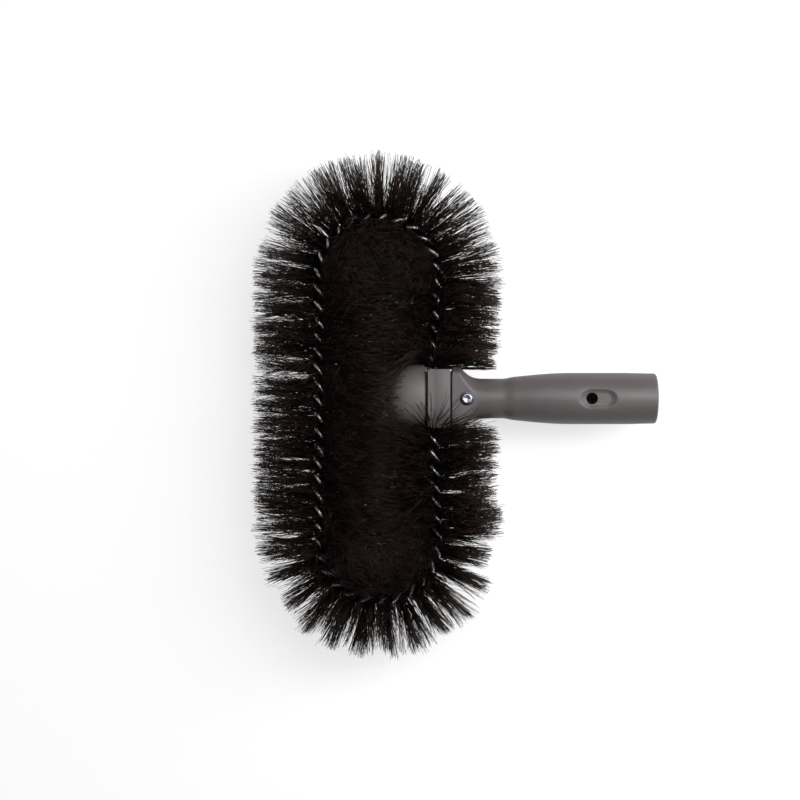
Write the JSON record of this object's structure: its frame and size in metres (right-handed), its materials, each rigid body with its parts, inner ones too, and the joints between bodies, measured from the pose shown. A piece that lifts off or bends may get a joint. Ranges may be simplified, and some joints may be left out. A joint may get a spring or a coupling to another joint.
{
  "type": "cobweb brush",
  "caption": "Cobweb brush head: a racetrack loop of twisted-in-wire bristle clamped to the end of a moulded grip with a socket for an extension pole.",
  "frame": {"origin": "centre of the pole socket's mouth", "axes": "+X along the grip and out of the socket's mouth, +Y along the loop's long way, +Z out of the face that carries the clamp screw and the snap-button hole"},
  "size_m": [0.261, 0.3301, 0.0841],
  "materials": {
    "grip_plastic": "fine moulded texture, warm dark grey",
    "plated_steel": "bright zinc plate",
    "core_steel": "drawn galvanised wire",
    "bristle": "brown-black crimped filament, satin"
  },
  "bodies": {
    "root": {"handle": "grip_plastic", "clamp_block": "grip_plastic", "nose_cap": "grip_plastic", "clamp_screw": "plated_steel", "screw_washer": "plated_steel", "clamp_nut": "plated_steel", "nose_screw": "plated_steel", "end_sleeve_upper": "core_steel", "end_sleeve_lower": "core_steel", "core_wire_a": "core_steel", "core_wire_b": "core_steel", "bristles_right_upper": "bristle", "bristles_top_right": "bristle", "bristles_top_left": "bristle", "bristles_left_upper": "bristle", "bristles_left_lower": "bristle", "bristles_bottom_left": "bristle", "bristles_bottom_right": "bristle", "bristles_right_lower": "bristle"}
  },
  "joints": []
}
